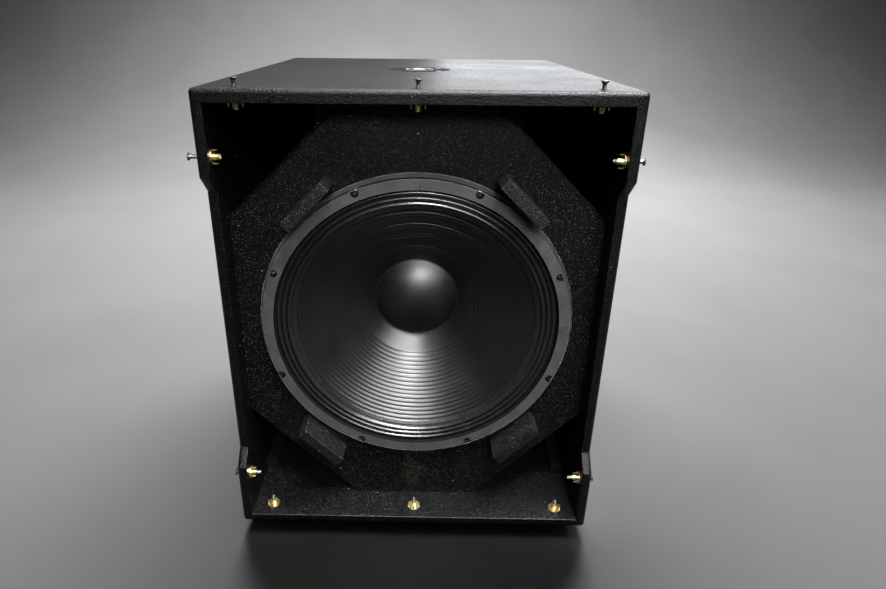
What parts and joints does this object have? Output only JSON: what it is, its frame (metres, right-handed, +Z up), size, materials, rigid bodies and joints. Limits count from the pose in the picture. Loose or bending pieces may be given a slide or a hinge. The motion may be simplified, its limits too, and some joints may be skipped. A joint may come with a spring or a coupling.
{
  "type": "subwoofer cabinet",
  "caption": "Black textured plywood bass speaker cabinet with corner ports, one large recessed driver, pole socket on top, rubber feet, side handles and a rear connector dish.",
  "frame": {"origin": "on the floor, below the middle of the cabinet", "axes": "+X to the right seen from the front, +Y from the front to the back, +Z up"},
  "size_m": [0.5795, 0.62, 0.714],
  "materials": {
    "bare_plywood": "unfinished birch plywood",
    "batten_paint": "black painted softwood",
    "black_metal": "satin black",
    "black_plastic": "satin moulded",
    "black_steel": "black oxide",
    "black_wire": "insulated wire",
    "black_zinc": "black zinc",
    "cone_paper": "coated paper pulp",
    "copper": "enamelled copper",
    "dust_cap_paper": "coated paper, satin",
    "felt": "grey fibre felt",
    "ferrite": "sintered ferrite",
    "former_foil": "plain",
    "gasket_cork": "matt grey-black foam rubber",
    "grey_cast": "dark grey cast metal",
    "mesh_metal": "woven mesh",
    "red_wire": "insulated wire",
    "rubber": "moulded",
    "screw_steel": "zinc plated",
    "spider_cloth": "resin treated cotton",
    "surround_cloth": "doped cloth, slightly glossy",
    "terminal_board": "laminate with metal tabs",
    "textured_paint": "black textured paint on plywood",
    "tinsel": "braided tinsel",
    "yellow_zinc": "yellow zinc plated",
    "zinc_steel": "bright zinc"
  },
  "bodies": {
    "cabinet": {"bottom_panel": "textured_paint", "connector_dish": "black_metal", "corner_batten_lower_left": "batten_paint", "corner_batten_lower_right": "batten_paint", "corner_batten_upper_left": "batten_paint", "corner_batten_upper_right": "batten_paint", "damping_mat": "felt", "dish_screws": "black_steel", "driver_basket": "black_metal", "driver_bolts": "black_steel", "driver_insert_nuts": "zinc_steel", "driver_terminals": "terminal_board", "foot_screws": "black_steel", "front_baffle": "textured_paint", "front_pole_plate": "black_zinc", "gasket_segment_lower_left": "gasket_cork", "gasket_segment_lower_right": "gasket_cork", "gasket_segment_upper_left": "gasket_cork", "gasket_segment_upper_right": "gasket_cork", "grille_block_lower_left": "textured_paint", "grille_block_lower_right": "textured_paint", "grille_block_upper_left": "textured_paint", "grille_block_upper_right": "textured_paint", "grille_screws": "screw_steel", "grille_tee_nuts": "yellow_zinc", "handle_screws": "black_steel", "input_socket": "black_plastic", "input_wire_negative": "black_wire", "input_wire_positive": "red_wire", "left_side_panel": "textured_paint", "link_socket": "black_plastic", "magnet_bolts": "zinc_steel", "magnet_ring": "ferrite", "pole_mount_plate": "grey_cast", "pole_mount_screws": "black_steel", "port_wall_lower_left": "textured_paint", "port_wall_lower_right": "textured_paint", "port_wall_upper_left": "textured_paint", "port_wall_upper_right": "textured_paint", "rear_panel": "textured_paint", "right_side_panel": "textured_paint", "rubber_foot_front_left": "rubber", "rubber_foot_front_right": "rubber", "rubber_foot_rear_left": "rubber", "rubber_foot_rear_right": "rubber", "side_handle_left": "black_plastic", "side_handle_right": "black_plastic", "socket_screws": "black_steel", "spider": "spider_cloth", "surround": "surround_cloth", "tinsel_lead_negative": "tinsel", "tinsel_lead_positive": "tinsel", "top_panel": "textured_paint", "vent_mesh": "mesh_metal", "window_brace": "bare_plywood", "yoke": "black_zinc"},
    "moving_assembly": {"cone": "cone_paper", "dust_cap": "dust_cap_paper", "voice_coil_former": "former_foil", "voice_coil": "copper"}
  },
  "joints": [
    {"name": "cone_excursion", "type": "slide", "parent": "cabinet", "child": "moving_assembly", "axis": [0, 1, 0], "range_m": [-0.01, 0.01], "stiffness_N_per_m": 6000, "deforming": ["surround", "spider", "tinsel_lead_positive", "tinsel_lead_negative"]}
  ]
}
